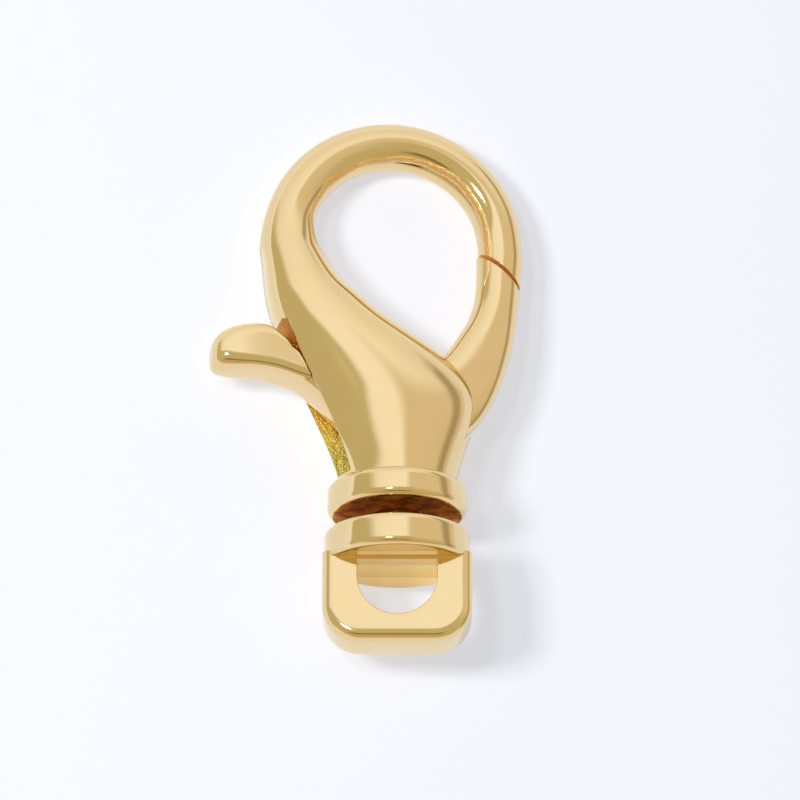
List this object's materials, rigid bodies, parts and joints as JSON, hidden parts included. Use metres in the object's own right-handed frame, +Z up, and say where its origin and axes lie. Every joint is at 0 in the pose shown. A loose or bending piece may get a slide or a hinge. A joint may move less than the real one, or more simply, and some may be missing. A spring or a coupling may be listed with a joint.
{
  "type": "lobster clasp",
  "caption": "Gold-plated swivel lobster clasp: a cast hook with a sprung thumb lever that opens its loop, and a swivelling eye with a D-shaped hole for a ring or strap end.",
  "frame": {"origin": "centre of the bounding box's footprint, on the surface that the clasp lies on", "axes": "+Z up from that surface, +Y along the clasp from the eye towards the top of the loop, +X towards the gate, so the thumb piece points to -X; the clasp leans down towards the loop by 6.93 degrees"},
  "size_m": [0.016, 0.0278, 0.0075],
  "materials": {
    "gold_plate": "polished pale gold plating, rough as cast inside the slot",
    "pin_metal": "plain turned metal, darkened"
  },
  "bodies": {
    "hook": {"hook_body": "gold_plate", "pivot_pin": "pin_metal"},
    "lever": {"gate_lever": "gold_plate"},
    "eye": {"swivel_eye": "gold_plate", "swivel_post": "pin_metal"}
  },
  "joints": [
    {"name": "lever_hinge", "type": "hinge", "parent": "hook", "child": "lever", "pos_m": [0.00154, -0.00165, 0.00295], "axis": [0, 0.1206, 0.9927], "range_deg": [0, 28], "stiffness_Nm_per_rad": 0.03, "springref_deg": -20.05},
    {"name": "eye_swivel", "type": "hinge", "parent": "hook", "child": "eye", "pos_m": [0.00154, -0.00702, 0.0036], "axis": [0, 0.9927, -0.1206], "continuous": true}
  ]
}
